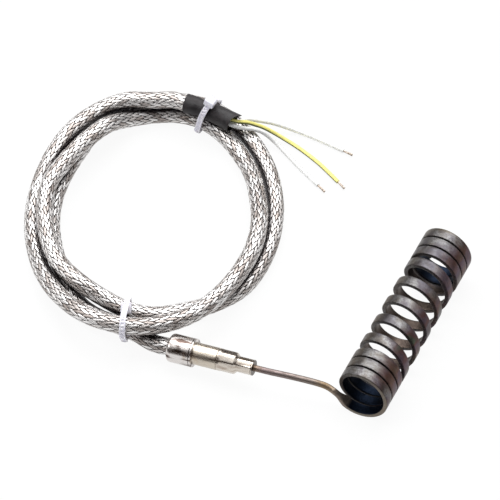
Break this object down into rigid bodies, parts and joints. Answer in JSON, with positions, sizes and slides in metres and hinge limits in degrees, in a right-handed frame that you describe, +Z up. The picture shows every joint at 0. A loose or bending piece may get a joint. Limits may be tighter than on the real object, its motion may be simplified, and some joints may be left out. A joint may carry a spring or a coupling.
{
  "type": "coil heater",
  "caption": "Nozzle coil heater: flat metal strip wound as a coil with open middle turns, a cold tail into a stepped crimped connector, and a coiled metal-braided lead with free wire ends.",
  "frame": {"origin": "on the coil's bore axis, in the plane of the face at its lead end", "axes": "+Y along the bore from the lead end to the far end, +Z up as the part lies on a surface, the lead on the -X side"},
  "size_m": [0.1681, 0.1272, 0.0205],
  "materials": {
    "sheath": "heat-tinted stainless strip, brushed, dark inside",
    "weld_plug": "welded end",
    "magnesia": "pressed white powder, matte",
    "resistance_alloy": "oxidised resistance wire",
    "nickel_pin": "plain nickel",
    "seal_glass": "fused glass bead",
    "ferrule": "bright plated steel with a faint gold tint",
    "barrel": "bright plated steel",
    "collar": "bright plated, drawn lengthwise",
    "cement": "cast ceramic cement, matte",
    "splice": "tinned crimp sleeve",
    "glass_sleeve": "varnished glass-fibre sleeving",
    "earth_brass": "plain brass",
    "braid": "bright metal braid",
    "earth_insulation": "yellow with a green stripe",
    "power_insulation": "white",
    "conductor": "stranded tinned copper",
    "shrink": "matte black heat-shrink tube",
    "nylon": "natural white nylon"
  },
  "bodies": {
    "lead_end": {"coil_near_turns": "sheath", "coil_open_turns": "sheath", "mgo_filling": "magnesia", "resistance_wire": "resistance_alloy", "cold_pin_1": "nickel_pin", "cold_pin_2": "nickel_pin", "glass_bead": "seal_glass", "nose_ferrule": "ferrule", "connector_barrel": "barrel", "rear_collar": "collar", "potting": "cement", "splice_1": "splice", "splice_2": "splice", "splice_sleeve_1": "glass_sleeve", "splice_sleeve_2": "glass_sleeve", "earth_disc": "earth_brass", "braid_sleeve": "braid", "earth_wire": "earth_insulation", "power_wire_1": "power_insulation", "power_wire_2": "power_insulation", "earth_conductor": "conductor", "power_conductor_1": "conductor", "power_conductor_2": "conductor", "heat_shrink": "shrink", "cable_tie_lower": "nylon", "cable_tie_upper": "nylon"},
    "far_end": {"coil_far_turns": "sheath", "end_plug": "weld_plug"}
  },
  "joints": [
    {"name": "coil_stretch", "type": "slide", "parent": "lead_end", "child": "far_end", "axis": [0, 1, 0], "range_m": [-0.006, 0.006], "stiffness_N_per_m": 600, "deforming": ["coil_open_turns", "mgo_filling", "resistance_wire"]}
  ]
}
